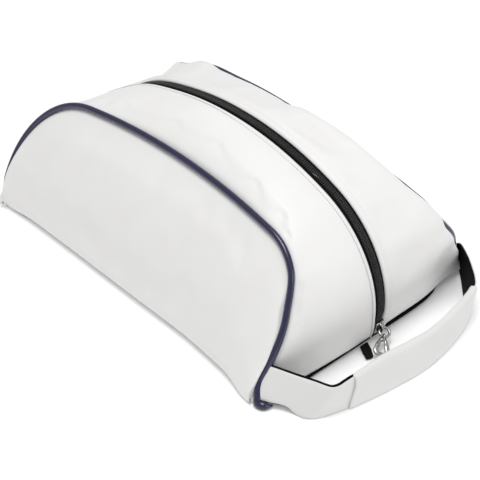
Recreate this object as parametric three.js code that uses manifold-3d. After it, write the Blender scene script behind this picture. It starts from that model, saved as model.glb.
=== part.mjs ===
// Golf shoe bag: a zipped leatherette case with leaning sides, piped seams and a strap handle at one end.
// Millimetres. +X runs along the bag to the handle end, +Z is up, and the origin is the middle of the
// underside. The right-hand side is -Y. Every soft panel is a thin closed shell set just inside the seam cords.
import * as THREE from "three";
import { mergeVertices } from "three/addons/utils/BufferGeometryUtils.js";
import Module from "manifold-3d";

const wasm = await Module();
wasm.setup();

// ---- Driving dimensions ----
const GAP = 0.3;
const BASE = { halfLength: 160, halfWidth: 114.5, frontRadius: 12, rearRadius: 18, waist: 0.045, flare: 0.03 };
// The seam arches are three tangent arcs: a flat one over the top and a tighter one at each end.
const SIDE_ARCH = { topRadius: 750, topX: 2, apex: 113, rearRadius: 73, rearX: -171, frontRadius: 48, frontX: 149.5 };
const ZIP_ARCH = { topRadius: 265, topX: 14, apex: 132.5, rearRadius: 63, rearX: -169, frontRadius: 88.8, frontX: 166 };
const SIDE_LEAN = 0.549; // how far a side comes in for each millimetre of height
const SIDE_FOOT_Y = 118; // half the width between the sides, at the floor
const FOOT = 5.8; // where the panels start, just above the base binding
const KICK = { from: 32, reach: 8 }; // the front of the side seam runs forward to the corner below this height
const SIDE_BULGE = 8;
const SPINE = 118; // half the length of the base edge that a side panel's rulings start from
const CORD_RADIUS = 2; // piping along the side seams
const BINDING = { radius: 1.8, z: 2.2 };
const LEATHER = 2; // thickness of the outer panels
const ZIP = { lip: 7, tapeEdge: 16, chainInner: 0.8, chainOuter: 3.1, chainDepth: [1, 2.6], tapeDepth: [3.1, 3.8] };
const FOAM_DEPTH = [2.4, 4.8];
const LINING_DEPTH = [5.2, 5.9];
const STRAP = { width: 27.6, layer: 1.3, z: 16 };
const GRIP = { from: 0.265, to: 0.765, halfWidth: 15.7, halfDepth: 3.7, wall: 1.2 };
const SLIDER_ANGLE = THREE.MathUtils.degToRad(-13); // where the slider rests on the front arc
const SLIDER = { top: 0.7, under: -0.5, sole: -4.6, flange: -2.3, halfWidth: 4.8, halfLength: 5.5 };
const RING = { radius: 4.2, wire: 0.7, drop: THREE.MathUtils.degToRad(25), lug: 2.2 };
const PULLER = { sway: THREE.MathUtils.degToRad(50), reach: 20, thickness: 1.6 };

// ---- Materials ----
const finish = (color, roughness, metalness = 0) => new THREE.MeshStandardMaterial({ color, roughness, metalness });
const LOOK = {
  white: finish(0xf1f1ee, 0.45),
  navy: finish(0x17173f, 0.3),
  black: finish(0x111111, 0.6),
  webbing: finish(0x0b0b0b, 0.85),
  lining: finish(0x1c1c1e, 0.8),
  foam: finish(0xd9d9d2, 0.9),
  board: finish(0xbfb9aa, 0.7),
  nickel: finish(0xc9c9c6, 0.25, 1),
};

const group = new THREE.Group();
function add(name, geometry, look, parent = group) {
  const mesh = new THREE.Mesh(geometry, LOOK[look]);
  mesh.name = name;
  parent.add(mesh);
  return mesh;
}

// ---- Geometry helpers ----
const point = (x, y, z) => new THREE.Vector3(x, y, z);
const mix = (a, b, t) => a + (b - a) * t;

/** A closed mesh from rows of points: rows[i][j], where each row is a closed section loop. */
function loft(rows, closed = false) {
  const count = rows[0].length;
  const positions = rows.flat().flatMap((p) => [p.x, p.y, p.z]);
  const index = [];
  const last = closed ? rows.length : rows.length - 1;
  for (let i = 0; i < last; i++) {
    const next = ((i + 1) % rows.length) * count;
    for (let j = 0; j < count; j++) {
      const k = (j + 1) % count;
      index.push(i * count + j, i * count + k, next + j, next + j, i * count + k, next + k);
    }
  }
  if (!closed) {
    const end = (rows.length - 1) * count;
    const flat = (row) => {
      const origin = row[0];
      const along = row[1].clone().sub(origin).normalize();
      const normal = along.clone().cross(row[Math.floor(count / 2)].clone().sub(origin)).normalize();
      const across = normal.clone().cross(along);
      return row.map((p) => {
        const d = p.clone().sub(origin);
        return new THREE.Vector2(d.dot(along), d.dot(across));
      });
    };
    for (const [a, b, c] of THREE.ShapeUtils.triangulateShape(flat(rows[0]), [])) index.push(a, c, b);
    for (const [a, b, c] of THREE.ShapeUtils.triangulateShape(flat(rows[rows.length - 1]), []))
      index.push(end + a, end + b, end + c);
  }
  return facingOut(positions, index);
}

/** The geometry of these triangles, turned round if they face inwards. */
function facingOut(positions, index) {
  let volume = 0;
  const corner = (i) => new THREE.Vector3().fromArray(positions, 3 * i);
  for (let i = 0; i < index.length; i += 3)
    volume += corner(index[i]).dot(corner(index[i + 1]).cross(corner(index[i + 2])));
  if (volume < 0) for (let i = 0; i < index.length; i += 3) [index[i + 1], index[i + 2]] = [index[i + 2], index[i + 1]];
  const geometry = new THREE.BufferGeometry();
  geometry.setAttribute("position", new THREE.Float32BufferAttribute(positions, 3));
  geometry.setIndex(index);
  return geometry;
}

/**
 * A shell between two depths under surface(u, v), for u and v from 0 to 1. Depth is along the inward normal.
 * trim leaves out that many steps at each edge, so that a layer below keeps the same facets as the one above.
 */
function shell(surface, [outer, inner], [nu, nv], inward, trim = [0, 0]) {
  const at = (depth) => {
    const rows = [];
    for (let i = trim[0]; i <= nu - trim[0]; i++) {
      const row = [];
      for (let j = trim[1]; j <= nv - trim[1]; j++) row.push(sunk(surface, i / nu, j / nv, inward, depth));
      rows.push(row);
    }
    return rows;
  };
  const top = at(outer);
  const under = at(inner);
  return loft(top.map((row, i) => [...row, ...under[i].slice().reverse()]));
}

/** A point at a depth under a surface. */
function sunk(surface, u, v, inward, depth) {
  const e = 1e-3;
  const p = surface(u, v);
  const du = surface(Math.min(u + e, 1), v).sub(surface(Math.max(u - e, 0), v));
  const dv = surface(u, Math.min(v + e, 1)).sub(surface(u, Math.max(v - e, 0)));
  const normal = du.cross(dv).normalize();
  if (normal.dot(inward(p)) < 0) normal.negate();
  return p.addScaledVector(normal, depth);
}

/** A round tube along a list of points. */
function tube(points, radius, sides, closed = false) {
  const count = points.length;
  const pick = (i) => points[closed ? (i + count) % count : THREE.MathUtils.clamp(i, 0, count - 1)];
  const side = point(0, 1, 0);
  const rows = points.map((p, i) => {
    const tangent = pick(i + 1).clone().sub(pick(i - 1)).normalize();
    const a = (Math.abs(tangent.y) > 0.8 ? point(0, 0, 1) : side).clone().cross(tangent).normalize();
    const across = closed ? point(0, 0, 1) : a;
    const b = tangent.clone().cross(across).normalize();
    return Array.from({ length: sides }, (_, k) => {
      const angle = (2 * Math.PI * (k + 0.5)) / sides;
      return p.clone().addScaledVector(across, radius * Math.cos(angle)).addScaledVector(b, radius * Math.sin(angle));
    });
  });
  return loft(rows, closed);
}

function toManifold(geometry) {
  const plain = new THREE.BufferGeometry().setAttribute("position", geometry.getAttribute("position").clone());
  if (geometry.index) plain.setIndex(geometry.index.clone());
  const merged = mergeVertices(plain, 1e-4);
  const vertProperties = merged.attributes.position.array;
  return new wasm.Manifold(new wasm.Mesh({ numProp: 3, vertProperties, triVerts: new Uint32Array(merged.index.array) }));
}

function fromManifold(solid) {
  const mesh = solid.getMesh();
  const geometry = new THREE.BufferGeometry();
  geometry.setAttribute("position", new THREE.BufferAttribute(new Float32Array(mesh.vertProperties), 3));
  geometry.setIndex(new THREE.BufferAttribute(new Uint32Array(mesh.triVerts), 1));
  return geometry;
}

const join = (a, b) => fromManifold(toManifold(a).add(toManifold(b)));

/** A flat plate of a 2D outline, from z = low to z = high. */
function plate(outline, low, high) {
  const geometry = new THREE.ExtrudeGeometry(new THREE.Shape(outline), { depth: high - low, bevelEnabled: false });
  return geometry.translate(0, 0, low);
}

// ---- Seam lines ----
/** The centre of an end arc that touches the top arc from inside, given how far the end reaches in x. */
function endCentre(arch, radius, x) {
  const topZ = arch.apex - arch.topRadius;
  return new THREE.Vector2(x, topZ + Math.sqrt((arch.topRadius - radius) ** 2 - (x - arch.topX) ** 2));
}

/** An arch in the XZ plane as a 2D path from the rear foot to the front foot. */
function archPath(arch, kick) {
  const top = new THREE.Vector2(arch.topX, arch.apex - arch.topRadius);
  const rear = endCentre(arch, arch.rearRadius, arch.rearX + arch.rearRadius);
  const front = endCentre(arch, arch.frontRadius, arch.frontX - arch.frontRadius);
  const rearTurn = rear.clone().sub(top).angle();
  const frontTurn = front.clone().sub(top).angle();
  const rearFoot = Math.PI + Math.asin((rear.y - FOOT) / arch.rearRadius);
  const frontFoot = kick ? 0 : Math.asin((FOOT - front.y) / arch.frontRadius);
  const path = new THREE.Path();
  path.absarc(rear.x, rear.y, arch.rearRadius, rearFoot, rearTurn, true);
  path.absarc(top.x, top.y, arch.topRadius, rearTurn, frontTurn, true);
  path.absarc(front.x, front.y, arch.frontRadius, frontTurn, frontFoot, true);
  if (kick) {
    path.lineTo(arch.frontX, kick.from);
    path.quadraticCurveTo(arch.frontX, FOOT + 6, arch.frontX + kick.reach, FOOT);
  }
  return path;
}

const SEAM_STEPS = 400;
const sideLine = archPath(SIDE_ARCH, KICK).getSpacedPoints(SEAM_STEPS);
const zipLine = archPath(ZIP_ARCH).getSpacedPoints(SEAM_STEPS);
function along(line, t) {
  const at = THREE.MathUtils.clamp(t, 0, 1) * SEAM_STEPS;
  const i = Math.min(Math.floor(at), SEAM_STEPS - 1);
  return line[i].clone().lerp(line[i + 1], at - i);
}

/** The side seam, at t from 0 at the rear foot to 1 at the front foot. side is -1 on the right, 1 on the left. */
function seam(t, side) {
  const p = along(sideLine, t);
  return point(p.x, side * (SIDE_FOOT_Y - SIDE_LEAN * p.y), p.y);
}

const LONG_EDGE_STEPS = 8;
/** The rim of the base in plan: a rounded rectangle, waisted in the middle and wider at the front. */
function baseRim(inset) {
  const { halfLength, halfWidth, frontRadius, rearRadius, waist, flare } = BASE;
  const [l, w] = [halfLength - inset, halfWidth - inset];
  const [f, r] = [frontRadius - inset / 2, rearRadius - inset / 2];
  const path = new THREE.Path();
  const straight = (from, to, y) => {
    for (let i = 1; i < LONG_EDGE_STEPS; i++) path.lineTo(mix(from, to, i / LONG_EDGE_STEPS), y);
  };
  path.absarc(l - f, w - f, f, 0, Math.PI / 2);
  straight(l - f, -l + r, w);
  path.absarc(-l + r, w - r, r, Math.PI / 2, Math.PI);
  path.absarc(-l + r, -w + r, r, Math.PI, 1.5 * Math.PI);
  straight(-l + r, l - f, -w);
  path.absarc(l - f, -w + f, f, 1.5 * Math.PI, 2 * Math.PI);
  return path.getPoints(2).map((p) => new THREE.Vector2(p.x, p.y * rimWidth(p.x)));
}
function rimWidth(x) {
  const share = x / BASE.halfLength;
  return (1 - BASE.waist * (1 - share * share)) * (1 + BASE.flare * share);
}

// ---- Surfaces ----
/** The arched band between a side seam and the zip, at a distance from the zip's middle. */
function band(t, across, side) {
  const edge = seam(t, side);
  const middle = along(zipLine, t);
  const power = mix(2.2, 3.1, THREE.MathUtils.smoothstep(t, 0.2, 0.8));
  const rise = 1 - Math.pow(Math.min(across / Math.abs(edge.y), 1), power);
  return point(mix(edge.x, middle.x, rise), side * across, mix(edge.z, middle.y, rise));
}
const bandInward = (p) => point(0, 0, 40).sub(point(p.x * 0.6, 0, p.z));

/** A strip of that band, from a distance `near` of the zip to `far` of it, or to the side seam cord. */
function bandStrip(side, near, far, [start, end] = [0, 1]) {
  return (u, v) => {
    const t = mix(start, end, u);
    const limit = Math.abs(seam(t, side).y) - CORD_RADIUS - 2 * GAP;
    return band(t, mix(near, far ?? limit, v), side);
  };
}

/** A side panel: rulings that fan out from the base edge to the side seam, and a crown between them. */
function sideSurface(side) {
  return (t, v) => {
    const top = seam(t, side);
    const x = mix(-SPINE, SPINE, THREE.MathUtils.smootherstep(t, 0.05, 0.95));
    const foot = point(x, side * (BASE.halfWidth + 0.5) * rimWidth(x), FOOT);
    const reach = top.clone().sub(foot);
    const run = seam(t + 0.01, side).sub(seam(t - 0.01, side)).normalize();
    const clear = (CORD_RADIUS + 2 * GAP) / reach.clone().cross(run).length();
    const share = (1 - clear) * (0.5 - 0.5 * Math.cos(Math.PI * v));
    const crown = SIDE_BULGE * 4 * share ** 0.7 * (1 - share ** 0.7) * Math.sin(Math.PI * t) ** 0.5;
    const slope = Math.hypot(1, SIDE_LEAN);
    return foot.lerp(top, share).add(point(0, (side * crown) / slope, (crown * SIDE_LEAN) / slope));
  };
}

// ---- Base ----
function makeBase() {
  add("base_panel", plate(baseRim(BINDING.radius + 2 * GAP), 0, 1.5), "black");
  add("base_board", plate(baseRim(9), 1.8, 4.3), "board");
  add("base_lining", plate(baseRim(10), 4.6, 5.3), "lining");
  const rim = baseRim(0).map((p) => point(p.x, p.y, BINDING.z));
  add("base_binding", tube(rim, BINDING.radius, 6, true), "black");
}

// ---- Side panels, bands and their linings ----
const PANEL_STEPS = 30;
function makeSide(name, side) {
  const steps = [PANEL_STEPS, 5];
  const inward = () => point(0, -side, -0.4);
  const layer = (depth, trim) => shell(sideSurface(side), depth, steps, inward, trim);
  add(`side_panel_${name}`, layer([0, LEATHER]), "white");
  add(`side_foam_${name}`, layer(FOAM_DEPTH, [1, 1]), "foam");
  add(`side_lining_${name}`, layer(LINING_DEPTH, [1, 1]), "lining");
  const cord = Array.from({ length: PANEL_STEPS + 1 }, (_, i) => seam(i / PANEL_STEPS, side));
  add(`piping_${name}`, tube(cord, CORD_RADIUS, 6), "navy");
}

function makeBand(name, side) {
  const steps = [PANEL_STEPS, 3];
  add(`gusset_${name}`, shell(bandStrip(side, ZIP.lip), [0, LEATHER], steps, bandInward), "white");
  const lining = (u, v) => {
    const t = mix(0.02, 0.98, u);
    return band(t, mix(9, Math.abs(seam(t, side).y) - 14, v), side);
  };
  add(`gusset_lining_${name}`, shell(lining, LINING_DEPTH, [PANEL_STEPS, 2], bandInward), "lining");
  const tape = bandStrip(side, ZIP.chainInner, ZIP.tapeEdge);
  add(`zipper_tape_${name}`, shell(tape, ZIP.tapeDepth, [PANEL_STEPS, 1], bandInward), "webbing");
  const chain = bandStrip(side, ZIP.chainInner, ZIP.chainOuter, [0.02, 0.985]);
  add(`zipper_chain_${name}`, shell(chain, ZIP.chainDepth, [PANEL_STEPS, 1], bandInward), "black");
}

// ---- Zip ends and slider ----
const zipFront = endCentre(ZIP_ARCH, ZIP_ARCH.frontRadius, ZIP_ARCH.frontX - ZIP_ARCH.frontRadius);

/** A frame on the front arc of the zip: +X points out of the bag and +Z runs up the zip. */
function onFrontArc(angle) {
  const frame = new THREE.Group();
  const r = ZIP_ARCH.frontRadius;
  frame.position.set(zipFront.x + r * Math.cos(angle), 0, zipFront.y + r * Math.sin(angle));
  frame.rotation.y = -angle;
  group.add(frame);
  return frame;
}

function makeZipEnds() {
  const frame = onFrontArc(THREE.MathUtils.degToRad(-17));
  const stop = new THREE.BoxGeometry(1.6, 2 * ZIP.chainOuter, 1.1).translate(-1.2, 0, -0.4);
  add("zipper_front_stop", stop, "nickel", frame);
  const rear = along(zipLine, 0.012);
  const rearStop = new THREE.BoxGeometry(1.6, 2 * ZIP.chainOuter, 1.4).translate(rear.x + 1.9, 0, rear.y + 0.7);
  add("zipper_rear_stop", rearStop, "nickel");
  const tab = [[162.4, -18.5], [175.5, -25], [176.5, -20], [162.4, -12.5]].map(([x, y]) => new THREE.Vector2(x, y));
  add("zipper_end_tab", plate(tab, 0.5, 2.1), "webbing");
}

function makeSlider() {
  const frame = onFrontArc(SLIDER_ANGLE);
  // Seen along the zip: a top plate with flanges, a thin neck between the chains, and a plate under the tapes.
  const { top, under, sole, flange, halfWidth, halfLength } = SLIDER;
  const neck = ZIP.chainInner - 0.45;
  const side = [[top, halfWidth - 0.4], [top - 0.4, halfWidth], [flange, halfWidth], [flange, halfWidth - 1],
    [under, halfWidth - 1], [under, neck], [sole, neck], [sole, halfWidth - 0.8], [sole - 1, halfWidth - 0.8]];
  const section = [...side, ...side.slice().reverse().map(([x, y]) => [x, -y])];
  const outline = section.map(([x, y]) => new THREE.Vector2(x, y));
  add("slider_body", plate(outline, -halfLength, halfLength), "nickel", frame);
  const arch = (height, reach, chamfer) => [[top + GAP, -reach], [height - chamfer, -reach], [height, chamfer - reach],
    [height, reach - chamfer], [height - chamfer, reach], [top + GAP, reach]];
  const loop = [...arch(4.8, 4.2, 1.2), ...arch(3.5, 2.9, 0.6).reverse()].map(([x, z]) => new THREE.Vector2(x, z));
  add("slider_crown", plate(loop, -1.3, 1.3).rotateX(Math.PI / 2), "nickel", frame);

  // The ring hangs on the crown, and the puller's eye slides round the ring.
  frame.updateMatrixWorld(true);
  const lug = frame.localToWorld(point(RING.lug, 0, 0));
  const ringFrame = new THREE.Group();
  ringFrame.position.copy(lug);
  ringFrame.rotation.y = RING.drop;
  group.add(ringFrame);
  const circle = Array.from({ length: 20 }, (_, i) => {
    const angle = (2 * Math.PI * i) / 20;
    return point(RING.radius * (1 + Math.cos(angle)), RING.radius * Math.sin(angle), 0);
  });
  add("puller_ring", tube(circle, RING.wire, 6, true), "nickel", ringFrame);

  const swayFrame = new THREE.Group();
  swayFrame.position.set(RING.radius, 0, 0);
  swayFrame.rotation.z = -PULLER.sway;
  ringFrame.add(swayFrame);
  const tongue = new THREE.Shape();
  tongue.absarc(RING.radius, 0, 2.2, 0.4, 2 * Math.PI - 0.4);
  tongue.lineTo(8, -PULLER.thickness / 2);
  tongue.lineTo(8, PULLER.thickness / 2);
  tongue.holes.push(new THREE.Path().absarc(RING.radius, 0, 1.25, 0, 2 * Math.PI));
  const eye = new THREE.ExtrudeGeometry(tongue, { depth: 2.8, bevelEnabled: false, curveSegments: 8 });
  eye.translate(0, 0, -1.4).rotateX(Math.PI / 2);
  const bow = new THREE.Shape();
  bow.moveTo(7, -3.2);
  bow.lineTo(PULLER.reach - 2.5, -5);
  bow.quadraticCurveTo(PULLER.reach, -4.6, PULLER.reach, 0);
  bow.quadraticCurveTo(PULLER.reach, 4.6, PULLER.reach - 2.5, 5);
  bow.lineTo(7, 3.2);
  const window = [[9.4, -1.9], [9.4, 1.9], [17.4, 3.3], [17.4, -3.3]].map(([x, y]) => new THREE.Vector2(x, y));
  bow.holes.push(new THREE.Path(window));
  const blade = new THREE.ExtrudeGeometry(bow, { depth: PULLER.thickness, bevelEnabled: false, curveSegments: 4 });
  blade.translate(0, 0, -PULLER.thickness / 2);
  add("puller", join(eye, blade), "nickel", swayFrame);
}

// ---- Handle ----
// The strap's middle line in plan from the right seam round to the left one, with its lean in degrees.
const HALF_STRAP = [[164, -106, 29], [176, -102, 31], [187, -96, 36], [194, -88, 32], [199, -77, 20], [203, -62, 7],
  [206.5, -34, 0], [208, 0, 0]];
const otherHalf = HALF_STRAP.slice(0, -1).reverse().map(([x, y, lean]) => [x, -y, lean]);
const STRAP_LINE = [...HALF_STRAP, ...otherHalf];
const strapMiddle = new THREE.CatmullRomCurve3(STRAP_LINE.map(([x, y]) => point(x, y, STRAP.z)), false, "centripetal");
const strapLean = new THREE.CatmullRomCurve3(STRAP_LINE.map(([x, y, lean]) => point(lean, x, y)), false, "centripetal");

/** The strap's frame at t: its middle, the direction across its width, and the direction out of the loop. */
function strapFrame(t) {
  const u = strapMiddle.getUtoTmapping(THREE.MathUtils.clamp(t, 0, 1));
  const middle = strapMiddle.getPoint(u);
  const tangent = strapMiddle.getTangent(u);
  const lean = THREE.MathUtils.degToRad(strapLean.getPoint(u).x);
  const out = tangent.clone().cross(point(0, 0, 1)).normalize();
  const width = point(0, 0, Math.cos(lean)).addScaledVector(out, -Math.sin(lean));
  return { middle, width, out: tangent.clone().cross(width).normalize() };
}

/** One layer of the strap: `facing` is the offset of the face towards the other layer. Its ends are round. */
function strapLayer([facing, back], from = 0.004, to = 0.996, steps = 34) {
  const length = strapMiddle.getLength();
  const rows = [];
  const half = STRAP.width / 2;
  for (let i = 0; i <= steps; i++) {
    const t = mix(from, to, 0.5 - 0.5 * Math.cos(Math.PI * (i / steps)) * (1 - 0.35 * Math.sin((Math.PI * i) / steps)));
    const { middle, width, out } = strapFrame(t);
    const tip = Math.min(t, 1 - t) * length;
    const h = tip < half ? Math.sqrt(half ** 2 - (half - tip) ** 2) : half;
    const corner = (w, o) => middle.clone().addScaledVector(width, w * h).addScaledVector(out, o);
    rows.push([corner(-1, facing), corner(1, facing), corner(1, back), corner(-1, back)]);
  }
  return loft(rows);
}

/** A hollow sleeve round the strap, as a loft that goes along the outside and back through the inside. */
function gripSleeve() {
  const steps = 14;
  const corners = 12;
  const ring = (t, grow) => {
    const { middle, width, out } = strapFrame(t);
    return Array.from({ length: corners }, (_, k) => {
      const angle = (2 * Math.PI * (k + 0.5)) / corners;
      const [c, s] = [Math.cos(angle), Math.sin(angle)];
      const w = (GRIP.halfWidth - grow) * Math.sign(s) * Math.abs(s) ** 0.3;
      const o = (GRIP.halfDepth - grow) * Math.sign(c) * Math.abs(c) ** 0.5;
      return middle.clone().addScaledVector(width, w).addScaledVector(out, o);
    });
  };
  const ts = Array.from({ length: steps + 1 }, (_, i) => mix(GRIP.from, GRIP.to, i / steps));
  const outside = ts.map((t) => ring(t, 0));
  const inside = ts.map((t) => ring(t, GRIP.wall)).reverse();
  return loft([...outside, ...inside], true);
}

/** The sewn end of the strap: from the side seam, whose line its edge follows, to just short of the round end. */
function strapTab(side) {
  const half = 0.46 * STRAP.width;
  const lean = Math.atan(SIDE_LEAN);
  const out = point(0, side * Math.cos(lean), Math.sin(lean));
  const width = point(0, -side * Math.sin(lean), Math.cos(lean));
  const middle = point(0, side * (SIDE_FOOT_Y - SIDE_LEAN * STRAP.z - 1.2), STRAP.z);
  const corner = (x, w, o) => {
    const p = middle.clone().addScaledVector(width, w).addScaledVector(out, o);
    return p.setX(x ?? seamX(p.z) + TAB_REAR);
  };
  const rows = [-1, -0.5, 0, 0.5, 1].map((share) => {
    const w = share * half;
    return [[null, 1], [TAB_FRONT, 1], [TAB_FRONT, -1], [null, -1]].map(([x, o]) => corner(x, w, o * STRAP.layer));
  });
  return loft(rows);
}
const TAB_FRONT = 163.6;
const TAB_REAR = 1.3 * CORD_RADIUS + 4.5 * GAP; // how far ahead of the seam the tab starts, to clear the cord
const seamX = (z) => sideLine.filter((p) => p.x > 0).reduce((a, b) => (Math.abs(a.y - z) < Math.abs(b.y - z) ? a : b)).x;

function makeHandle() {
  add("handle_strap", strapLayer([GAP / 2, GAP / 2 + STRAP.layer]), "white");
  add("handle_webbing", strapLayer([-GAP / 2, -GAP / 2 - STRAP.layer]), "webbing");
  add("handle_grip", gripSleeve(), "white");
  add("handle_tab_right", strapTab(-1), "white");
  add("handle_tab_left", strapTab(1), "white");
}

makeBase();
for (const [name, side] of [["right", -1], ["left", 1]]) {
  makeSide(name, side);
  makeBand(name, side);
}
makeZipEnds();
makeSlider();
makeHandle();

export default group;
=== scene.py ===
import math

import bmesh
import bpy
import numpy as np
from mathutils import Matrix, Vector


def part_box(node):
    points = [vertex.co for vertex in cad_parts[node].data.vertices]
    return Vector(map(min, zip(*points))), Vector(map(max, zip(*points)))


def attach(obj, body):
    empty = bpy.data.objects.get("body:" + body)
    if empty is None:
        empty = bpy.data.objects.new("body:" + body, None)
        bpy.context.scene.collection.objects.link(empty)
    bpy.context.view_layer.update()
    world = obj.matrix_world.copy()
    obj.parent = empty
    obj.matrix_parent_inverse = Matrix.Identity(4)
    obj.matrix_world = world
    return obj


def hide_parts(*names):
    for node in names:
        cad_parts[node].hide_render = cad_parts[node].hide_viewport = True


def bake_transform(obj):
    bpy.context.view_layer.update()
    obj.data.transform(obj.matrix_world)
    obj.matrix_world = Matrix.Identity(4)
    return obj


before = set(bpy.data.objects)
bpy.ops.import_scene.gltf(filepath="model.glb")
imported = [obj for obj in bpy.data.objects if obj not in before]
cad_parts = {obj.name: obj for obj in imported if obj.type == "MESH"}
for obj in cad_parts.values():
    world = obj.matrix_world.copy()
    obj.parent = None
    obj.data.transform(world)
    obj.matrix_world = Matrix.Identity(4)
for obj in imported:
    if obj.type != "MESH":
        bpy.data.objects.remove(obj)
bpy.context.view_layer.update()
scene = bpy.context.scene
MM = 0.001
RIGHT, LEFT = -1, 1
SIDES = {"right": RIGHT, "left": LEFT}

# ---- Camera: the bag is seen from its handle end, right side and above ----
AZIMUTH, ELEVATION, ROLL = (math.radians(a) for a in (48.5, 39.4, -0.945))
DISTANCE, LENS, SHIFT = 1.509, 137.3, (0.0076, -0.0015)
cam_data = bpy.data.cameras.new("camera")
camera = bpy.data.objects.new("camera", cam_data)
scene.collection.objects.link(camera)
scene.camera = camera
cam_data.sensor_width = 36
cam_data.lens = LENS
cam_data.shift_x, cam_data.shift_y = SHIFT
ground = math.cos(ELEVATION)
back = Vector((math.sin(AZIMUTH) * ground, -math.cos(AZIMUTH) * ground, math.sin(ELEVATION)))
level = Vector((math.cos(AZIMUTH), math.sin(AZIMUTH), 0))
right = math.cos(ROLL) * level + math.sin(ROLL) * back.cross(level)
turned = Matrix((right, back.cross(right), back)).transposed().to_4x4()
camera.matrix_world = Matrix.Translation(back * DISTANCE) @ turned


# ---- Small numeric helpers; lengths below are in millimetres ----
def lerp(a, b, t):
    """From a at t = 0 to b at t = 1."""
    return a + (b - a) * t


def smooth(x, a, b):
    """0 up to a, 1 from b, and an even rise between them."""
    t = np.clip((np.asarray(x, float) - a) / (b - a), 0, 1)
    return t * t * (3 - 2 * t)


def unit(v):
    """Vectors scaled to length 1."""
    return v / np.maximum(np.linalg.norm(v, axis=-1, keepdims=True), 1e-9)


def hill(*offsets):
    """1 where every offset is 0, falling away where one of them nears 1."""
    return np.exp(-sum(o**2 for o in offsets))


def vec(x, y, z):
    """Points from coordinates that are numbers or arrays."""
    return np.stack(np.broadcast_arrays(*(np.asarray(c, float) for c in (x, y, z))), -1)


def lengths(line):
    """How far along a line each of its points is."""
    return np.r_[0, np.cumsum(np.linalg.norm(np.diff(line, axis=0), axis=1))]


def sample(line, s, at):
    """The points at the distances in at, along a line whose own points are at the distances in s."""
    return np.stack([np.interp(at, s, line[:, k]) for k in range(line.shape[1])], -1)


def resample(points, count, closed=False):
    """The same line with evenly spaced points."""
    p = np.asarray(points, float)
    if closed:
        p = np.vstack([p, p[:1]])
    s = lengths(p)
    out = sample(p, s, np.linspace(0, s[-1], count + 1 if closed else count))
    return out[:-1] if closed else out


def catmull_rom(a, b, c, d, t):
    """From b at t = 0 to c at t = 1, on a smooth curve through all four."""
    return 0.5 * (2 * b + (c - a) * t + (2 * a - 5 * b + 4 * c - d) * t**2 + (3 * b - a - 3 * c + d) * t**3)


def spline(points, count):
    """A Catmull-Rom curve through the points, evenly spaced."""
    p = np.asarray(points, float)
    p = np.vstack([2 * p[0] - p[1], p, 2 * p[-1] - p[-2]])
    t = np.linspace(0, 1, 24, endpoint=False)[:, None]
    rows = [catmull_rom(*four, t) for four in zip(p, p[1:], p[2:], p[3:])]
    return resample(np.vstack([*rows, p[-2:-1]]), count)


def ripple(p, seed, wavelength, waves=7):
    """Smooth, repeatable unevenness between about -1 and 1."""
    rng = np.random.default_rng(seed)
    k = unit(rng.normal(size=(waves, 3))) * (2 * math.pi / wavelength) * rng.uniform(0.6, 1.5, (waves, 1))
    return np.sin(p @ k.T + rng.uniform(0, 2 * math.pi, waves)).sum(-1) / math.sqrt(2 * waves)


# ---- Mesh helpers ----
PRESS = 5


def make_object(name, points, faces, material, rests=True):
    """A smooth-shaded object; one that rests is pressed flat where it would reach under the floor."""
    points = np.array(points, float).reshape(-1, 3)
    if rests:
        points[:, 2] = np.logaddexp(0, PRESS * points[:, 2]) / PRESS
    mesh = bpy.data.meshes.new(name)
    mesh.from_pydata((points * MM).tolist(), [], faces)
    mesh.update()
    mesh.polygons.foreach_set("use_smooth", [True] * len(mesh.polygons))
    mesh.materials.append(material)
    made = bmesh.new()
    made.from_mesh(mesh)
    bmesh.ops.recalc_face_normals(made, faces=made.faces)
    made.to_mesh(mesh)
    made.free()
    piece = bpy.data.objects.new(name, mesh)
    scene.collection.objects.link(piece)
    return piece


def grid_faces(nu, nv, wrap_u=False, wrap_v=False):
    """The faces of a grid of nu by nv points, which may close on itself either way."""
    i = np.arange(nu if wrap_u else nu - 1)[:, None]
    j = np.arange(nv if wrap_v else nv - 1)[None, :]
    a, b = i * nv, ((i + 1) % nu) * nv
    k = (j + 1) % nv
    return np.stack(np.broadcast_arrays(a + j, b + j, b + k, a + k), -1).reshape(-1, 4).tolist()


def tube_faces(count, sides, closed=False):
    """The faces round a row of rings, closed on itself or capped at both ends."""
    faces = grid_faces(count, sides, wrap_u=closed, wrap_v=True)
    if not closed:
        faces += [list(range(sides)), list(range((count - 1) * sides, count * sides))]
    return faces


def normals_of(p, inside):
    """Unit normals of a grid of points, turned away from the point inside."""
    n = unit(np.cross(np.gradient(p, axis=0), np.gradient(p, axis=1)))
    return n if ((p - inside) * n).sum() > 0 else -n


def shell_object(name, p, thickness, material, inside):
    """A sheet of that thickness under a grid of points, with rounded long edges."""
    n = normals_of(p, np.asarray(inside, float))
    under = p - n * thickness
    mid = (p + under) / 2
    lip_a = mid[:, 0] + unit(p[:, 0] - p[:, 1]) * thickness * 0.45
    lip_b = mid[:, -1] + unit(p[:, -1] - p[:, -2]) * thickness * 0.45
    rows = np.concatenate([p, lip_b[:, None], under[:, ::-1], lip_a[:, None]], 1)
    nu, nv = rows.shape[:2]
    faces = grid_faces(nu, nv, wrap_v=True)
    m = p.shape[1]
    for start in (0, (nu - 1) * nv):
        faces.append([start + c for c in (2 * m + 1, 0, 2 * m)])
        faces.append([start + c for c in (m - 1, m, m + 1)])
        for j in range(m - 1):
            faces.append([start + c for c in (j, j + 1, 2 * m - j - 1, 2 * m - j)])
    return make_object(name, rows, faces, material)


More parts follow.
